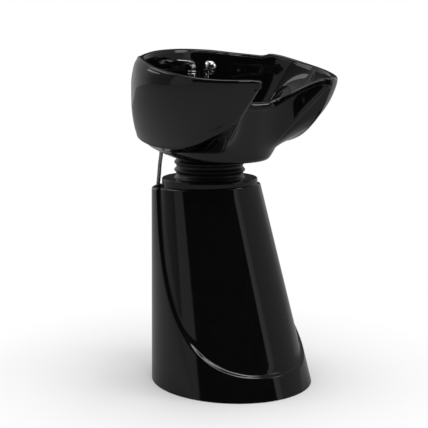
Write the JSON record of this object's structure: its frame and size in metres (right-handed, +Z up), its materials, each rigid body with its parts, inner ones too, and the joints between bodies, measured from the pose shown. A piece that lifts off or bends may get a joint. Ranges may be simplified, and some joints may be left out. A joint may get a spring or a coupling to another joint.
{
  "type": "portable shampoo basin",
  "caption": "Free-standing black shampoo basin: tilting ceramic bowl with neck recess, mixer and hand shower on a moulded pedestal with rubber bellows.",
  "frame": {"origin": "on the floor under the axis of the bellows, on the underside of the base plate", "axes": "+Z up, -Y towards the client, who sits in front of the neck recess"},
  "size_m": [0.5916, 0.5841, 0.9797],
  "materials": {
    "black_shell": "high gloss",
    "bellows_rubber": "matt",
    "frame_paint": "satin",
    "zinc_steel": "zinc plated",
    "black_glaze": "glossy glaze",
    "chrome_plate": "polished",
    "nut_brass": "machined",
    "steel_braid": "braided wire",
    "waste_plastic": "ribbed",
    "spray_plastic": "satin"
  },
  "bodies": {
    "pedestal": {"pedestal_shell": "black_shell", "pedestal_cap": "black_shell", "bellows": "bellows_rubber", "base_plate": "frame_paint", "upright_left": "frame_paint", "shell_bracket_left": "zinc_steel", "upright_right": "frame_paint", "shell_bracket_right": "zinc_steel", "shell_bracket_front": "zinc_steel", "cross_bar": "frame_paint", "top_plate": "frame_paint", "spacer_1": "zinc_steel", "tilt_bolt_1": "zinc_steel", "spacer_2": "zinc_steel", "tilt_bolt_2": "zinc_steel", "spacer_3": "zinc_steel", "tilt_bolt_3": "zinc_steel", "spacer_4": "zinc_steel", "tilt_bolt_4": "zinc_steel", "tilt_lower_bracket": "zinc_steel", "tilt_pin_left": "zinc_steel", "tilt_nut_left": "zinc_steel", "tilt_pin_right": "zinc_steel", "tilt_nut_right": "zinc_steel", "waste_hose": "waste_plastic", "shower_hose": "steel_braid", "hose_grommet": "bellows_rubber", "supply_hose_hot": "steel_braid", "supply_nut_hot": "nut_brass", "supply_hose_cold": "steel_braid", "supply_nut_cold": "nut_brass"},
    "bowl": {"ceramic_bowl": "black_glaze", "tilt_upper_bracket": "zinc_steel", "bowl_bolt_1": "zinc_steel", "bowl_bolt_2": "zinc_steel", "bowl_bolt_3": "zinc_steel", "bowl_bolt_4": "zinc_steel", "drain_flange": "chrome_plate", "drain_gasket": "bellows_rubber", "drain_washer": "bellows_rubber", "drain_nut": "nut_brass", "waste_coupling": "waste_plastic", "mixer_body": "chrome_plate", "mixer_nut": "nut_brass", "spray_holder": "chrome_plate", "holder_nut": "nut_brass"},
    "mixer_collar": {"cartridge_collar": "chrome_plate"},
    "mixer_lever": {"lever_handle": "chrome_plate"},
    "hand_shower": {"spray_body": "chrome_plate", "spray_face": "spray_plastic", "hose_ferrule": "chrome_plate"},
    "strainer": {"hair_strainer": "chrome_plate"}
  },
  "joints": [
    {"name": "bowl_tilt", "type": "hinge", "parent": "pedestal", "child": "bowl", "pos_m": [0, 0, 0.635], "axis": [1, 0, 0], "range_deg": [-8, 12], "deforming": ["bellows", "waste_hose", "shower_hose", "supply_hose_hot", "supply_hose_cold"]},
    {"name": "mixer_swing", "type": "hinge", "parent": "bowl", "child": "mixer_collar", "pos_m": [-0.005, 0.084, 0.905], "axis": [0, 0, 1], "range_deg": [-40, 40]},
    {"name": "lever_lift", "type": "hinge", "parent": "mixer_collar", "child": "mixer_lever", "pos_m": [-0.005, 0.084, 0.9245], "axis": [0, 1, 0], "range_deg": [0, 22]},
    {"name": "hand_shower_pull", "type": "slide", "parent": "bowl", "child": "hand_shower", "axis": [0, 0, 1], "range_m": [0, 0.08], "deforming": ["shower_hose"]},
    {"name": "strainer_lift", "type": "slide", "parent": "bowl", "child": "strainer", "axis": [0, 0, 1], "range_m": [0, 0.04]}
  ]
}
